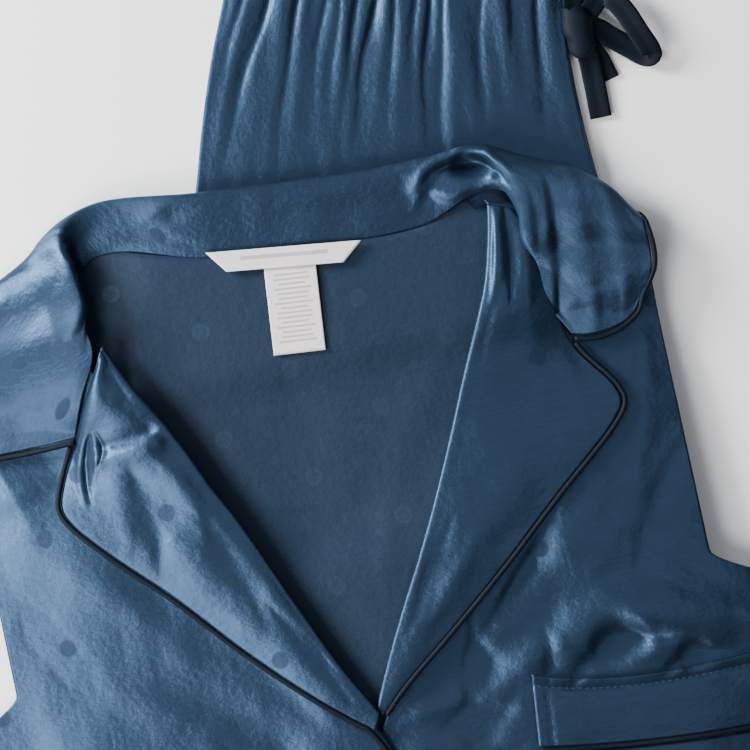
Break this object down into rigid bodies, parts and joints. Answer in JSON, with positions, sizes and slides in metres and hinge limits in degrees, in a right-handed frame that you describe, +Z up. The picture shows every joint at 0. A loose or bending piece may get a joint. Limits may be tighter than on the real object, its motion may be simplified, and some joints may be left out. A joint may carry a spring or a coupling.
{
  "type": "pyjama set",
  "caption": "Satin pyjama set laid flat: long-sleeved notched-collar top with dark piping and a chest pocket, over folded drawstring trousers with a gathered waist.",
  "frame": {"origin": "on the surface that the set lies on, straight below the middle of the top's back neck seam", "axes": "+X to the right of the picture (the wearer's left on the top), +Y up the picture towards the trousers' waist, +Z up from the surface"},
  "size_m": [0.6364, 1.0203, 0.0267],
  "materials": {
    "satin": "polyester satin with a woven dot, right side",
    "satin_wrong_side": "the same satin, wrong side, duller",
    "trim": "dark satin piping and ribbon",
    "label": "white woven label",
    "button": "dyed to match"
  },
  "bodies": {
    "root": {"leg_left": "satin", "leg_right": "satin", "waistband": "satin", "front_right": "satin", "front_left": "satin", "lapel_right": "satin", "lapel_left": "satin", "collar": "satin", "sleeve_right": "satin", "cuff_right": "satin", "sleeve_left": "satin", "cuff_left": "satin", "pocket": "satin", "pocket_band": "satin", "back": "satin_wrong_side", "collar_piping": "trim", "piping_right": "trim", "piping_left": "trim", "pocket_piping": "trim", "cuff_piping_right": "trim", "cuff_piping_left": "trim", "drawstring_knot": "trim", "drawstring_eyelet_front": "trim", "drawstring_loop_front": "trim", "drawstring_loop_back": "trim", "drawstring_end_front": "trim", "drawstring_end_back": "trim", "neck_label": "label", "care_label": "label", "button_1": "button", "button_2": "button", "button_3": "button", "button_4": "button"}
  },
  "joints": []
}
